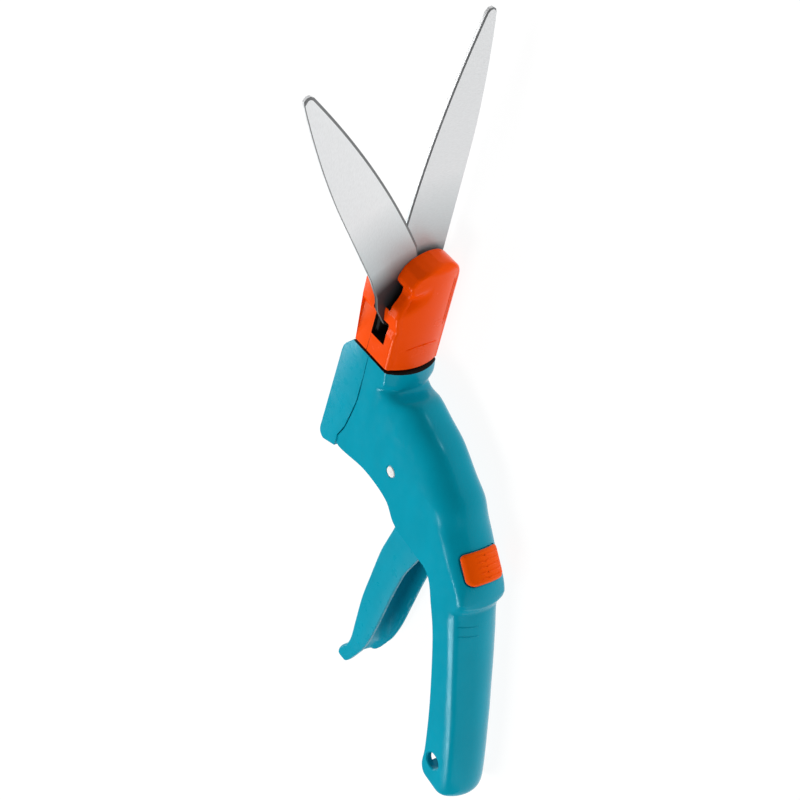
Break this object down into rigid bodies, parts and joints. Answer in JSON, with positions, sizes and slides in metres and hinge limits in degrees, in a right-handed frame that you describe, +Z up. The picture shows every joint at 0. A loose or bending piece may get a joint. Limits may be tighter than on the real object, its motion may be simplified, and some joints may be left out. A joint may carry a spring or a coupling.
{
  "type": "grass shears",
  "caption": "One-hand grass shears with a curved grip, a squeeze lever, a thumb lock and a swivelling head that holds a fixed and a moving blade.",
  "frame": {"origin": "centre of the bounding box at the surface the shears lie on, right side down", "axes": "+X along the head axis from grip to blade tips, +Y towards the squeeze lever, +Z up through the left side"},
  "size_m": [0.3205, 0.1298, 0.0869],
  "materials": {
    "handle_plastic": "smooth moulded",
    "lever_plastic": "smooth moulded",
    "cover_plastic": "smooth moulded",
    "head_plastic": "smooth moulded",
    "lower_plastic": "smooth moulded",
    "slider_plastic": "ribbed",
    "bush_plastic": "natural",
    "blade_steel": "ground, non-stick",
    "drive_steel": "sintered",
    "hardware_steel": "zinc plated",
    "pin_steel": "polished",
    "spring_steel": "drawn wire"
  },
  "bodies": {
    "handle": {"handle_body": "handle_plastic", "front_cover": "cover_plastic", "cover_screws": "hardware_steel", "lever_pivot_pin": "pin_steel", "neck_bush": "bush_plastic", "detent_ball": "pin_steel", "detent_spring": "spring_steel", "lever_spring": "spring_steel"},
    "lever": {"squeeze_lever": "lever_plastic", "link_pin": "pin_steel"},
    "rod": {"push_rod": "drive_steel"},
    "head": {"swivel_tube": "hardware_steel", "retaining_clip": "spring_steel", "upper_shell": "head_plastic", "lower_shell": "lower_plastic", "shell_screws": "hardware_steel", "fixed_blade": "blade_steel", "pivot_bolt": "hardware_steel", "pivot_nut": "hardware_steel", "spring_washer": "spring_steel"},
    "driver": {"slide_driver": "drive_steel"},
    "moving_blade_set": {"moving_blade": "blade_steel", "drive_pin": "pin_steel"},
    "lock": {"lock_slider": "slider_plastic", "lock_bolt": "drive_steel"}
  },
  "joints": [
    {"name": "lever_squeeze", "type": "hinge", "parent": "handle", "child": "lever", "pos_m": [-0.0368, 0.01835, 0.013], "axis": [0, 0, 1], "range_deg": [0, 20], "stiffness_Nm_per_rad": 1.2, "springref_deg": -22.92, "deforming": ["lever_spring"]},
    {"name": "rod_slide", "type": "slide", "parent": "handle", "child": "rod", "axis": [1, 0, 0], "range_m": [-0.00367, 0]},
    {"name": "head_swivel", "type": "hinge", "parent": "handle", "child": "head", "pos_m": [0.0052, 0.04535, 0.013], "axis": [1, 0, 0], "range_deg": [-90, 90]},
    {"name": "driver_slide", "type": "slide", "parent": "head", "child": "driver", "axis": [1, 0, 0], "range_m": [-0.00367, 0]},
    {"name": "blade_close", "type": "hinge", "parent": "head", "child": "moving_blade_set", "pos_m": [0.0177, 0.04445, 0.01], "axis": [0, 1, 0], "range_deg": [0, 32]},
    {"name": "lock_slide", "type": "slide", "parent": "handle", "child": "lock", "axis": [0.7341, 0.679, 0], "range_m": [0, 0.005]}
  ],
  "couplings": [
    {"joint": "rod_slide", "follows": "lever_squeeze", "m_per_rad": -0.0099526},
    {"joint": "driver_slide", "follows": "lever_squeeze", "m_per_rad": -0.0099526},
    {"joint": "blade_close", "follows": "lever_squeeze", "ratio": 1.55}
  ]
}
